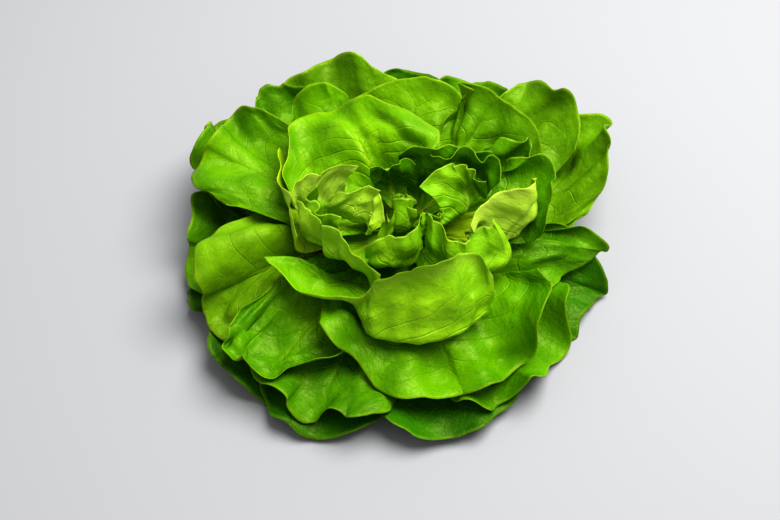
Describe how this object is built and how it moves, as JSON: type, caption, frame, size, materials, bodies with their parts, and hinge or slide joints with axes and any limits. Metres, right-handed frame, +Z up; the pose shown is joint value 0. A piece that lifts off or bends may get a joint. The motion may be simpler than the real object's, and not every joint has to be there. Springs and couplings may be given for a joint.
{
  "type": "butterhead lettuce",
  "caption": "Open butterhead lettuce: broad soft leaves in a rosette round a short stem, cupped at the heart and flat at the rim, resting on its cut butt.",
  "frame": {"origin": "centre of the flat cut face of the butt, where the lettuce rests", "axes": "+Z up along the stem; -Y towards the picture's camera; +X to its right"},
  "size_m": [0.2856, 0.2832, 0.094],
  "materials": {
    "stem": "whitish-green cut stem, matte, a little browned at the cut",
    "low_leaf": "fresh leaf, deep green, satin",
    "outer_leaf": "fresh leaf, mid green, satin",
    "middle_leaf": "fresh leaf, bright green, satin with a soft gloss",
    "wrap_leaf": "fresh leaf, yellow-green, satin with a soft gloss",
    "inner_leaf": "fresh leaf, pale yellow-green, satin",
    "heart": "youngest leaves, pale yellow-green, satin"
  },
  "bodies": {
    "root": {"stem": "stem", "low_leaf_left": "low_leaf", "low_leaf_front_left": "low_leaf", "low_leaf_front": "low_leaf", "low_leaf_front_right": "low_leaf", "low_leaf_right": "low_leaf", "low_leaf_back": "low_leaf", "outer_leaf_left": "outer_leaf", "outer_leaf_left_tip": "outer_leaf", "outer_leaf_back_right": "outer_leaf", "outer_leaf_front_right": "outer_leaf", "outer_leaf_back": "outer_leaf", "outer_leaf_right": "outer_leaf", "outer_leaf_left_wing": "outer_leaf", "outer_leaf_right_fold": "outer_leaf", "outer_leaf_right_back": "outer_leaf", "outer_leaf_front": "outer_leaf", "outer_leaf_left_dome": "outer_leaf", "middle_leaf_front_left": "middle_leaf", "middle_leaf_left": "middle_leaf", "middle_leaf_back": "middle_leaf", "middle_leaf_back_left": "middle_leaf", "middle_leaf_right_back": "middle_leaf", "middle_leaf_front": "middle_leaf", "middle_leaf_right_lobe": "middle_leaf", "middle_leaf_right": "middle_leaf", "wrap_leaf_front": "wrap_leaf", "wrap_leaf_left": "wrap_leaf", "wrap_leaf_back": "wrap_leaf", "wrap_leaf_right": "wrap_leaf", "inner_leaf_back": "inner_leaf", "inner_leaf_left_back": "inner_leaf", "inner_leaf_left": "inner_leaf", "inner_leaf_right": "inner_leaf", "inner_leaf_right_back": "inner_leaf", "inner_leaf_front": "inner_leaf", "inner_leaf_left_fold": "inner_leaf", "inner_leaf_right_fold": "inner_leaf", "inner_leaf_back_small": "inner_leaf", "inner_leaf_left_small": "inner_leaf", "inner_leaf_front_small": "inner_leaf", "inner_leaf_right_small": "inner_leaf", "heart": "heart"}
  },
  "joints": []
}
